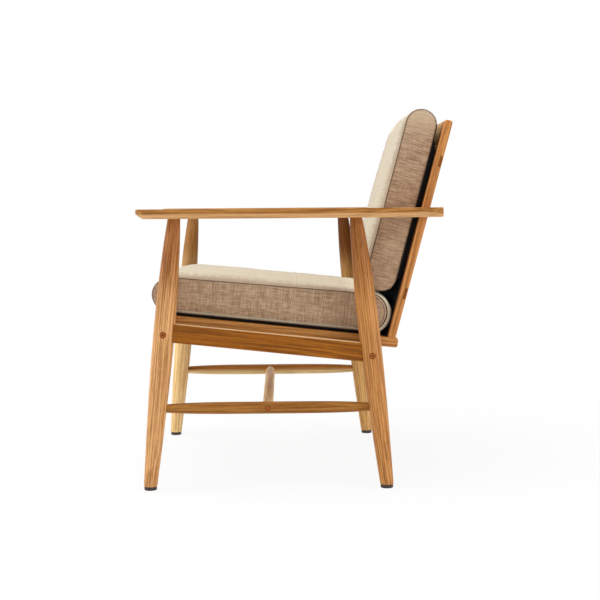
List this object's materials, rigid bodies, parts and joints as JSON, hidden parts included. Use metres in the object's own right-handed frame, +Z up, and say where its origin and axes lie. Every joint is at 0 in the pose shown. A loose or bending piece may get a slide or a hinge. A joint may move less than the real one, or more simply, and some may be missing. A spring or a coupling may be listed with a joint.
{
  "type": "armchair",
  "caption": "Wooden lounge armchair with turned splayed legs, flat paddle arms, a slatted back and two loose upholstered cushions.",
  "frame": {"origin": "on the floor under the middle of the overall box", "axes": "+Z up, front of the chair towards -Y, the sitter's left towards +X"},
  "size_m": [0.6636, 0.6602, 0.7943],
  "materials": {
    "oak": "oiled natural oak with open grain",
    "inner_oak": "oiled natural oak, parts that the cushions cover",
    "plug_wood": "end grain of oak",
    "linen_weave": "slubby plain weave, beige and taupe yarns",
    "base_cloth": "thin blue-black cloth",
    "foam": "open-cell foam core",
    "glide_plastic": "matte dark brown plastic",
    "steel": "zinc-plated steel"
  },
  "bodies": {
    "frame": {"apron_left": "oak", "apron_right": "oak", "arm_left": "oak", "arm_right": "oak", "arm_screws": "steel", "back_slat_1": "inner_oak", "back_slat_2": "inner_oak", "back_slat_3": "inner_oak", "back_slat_4": "inner_oak", "back_slat_5": "inner_oak", "back_slat_screws": "steel", "back_stile_left": "oak", "back_stile_right": "oak", "barrel_nuts": "steel", "crest_rail": "oak", "cross_stretcher": "oak", "front_cross_rail": "inner_oak", "front_glide_left": "glide_plastic", "front_glide_right": "glide_plastic", "front_leg_left": "oak", "front_leg_right": "oak", "leg_bolts": "steel", "leg_plugs": "plug_wood", "lower_back_rail": "inner_oak", "rear_cross_rail": "inner_oak", "rear_glide_left": "glide_plastic", "rear_glide_right": "glide_plastic", "rear_leg_left": "oak", "rear_leg_right": "oak", "seat_frame_screws": "steel", "seat_front_member": "inner_oak", "seat_rail_left": "oak", "seat_rail_right": "oak", "seat_rear_member": "inner_oak", "seat_slat_1": "inner_oak", "seat_slat_2": "inner_oak", "seat_slat_3": "inner_oak", "seat_slat_4": "inner_oak", "seat_slat_5": "inner_oak", "seat_slat_6": "inner_oak", "side_stretcher_left": "oak", "side_stretcher_right": "oak", "upper_back_rail": "inner_oak"},
    "seat_cushion": {"seat_cushion_base_cloth": "base_cloth", "seat_cushion_core": "foam", "seat_cushion_cover": "linen_weave"},
    "back_cushion": {"back_cushion_base_cloth": "base_cloth", "back_cushion_core": "foam", "back_cushion_cover": "linen_weave"}
  },
  "joints": [
    {"name": "seat_cushion_slide", "type": "slide", "parent": "frame", "child": "seat_cushion", "axis": [0, -0.9942, 0.108], "range_m": [0, 0.55]},
    {"name": "back_cushion_lift", "type": "slide", "parent": "frame", "child": "back_cushion", "axis": [0, 0.2571, 0.9664], "range_m": [0, 0.42]}
  ]
}
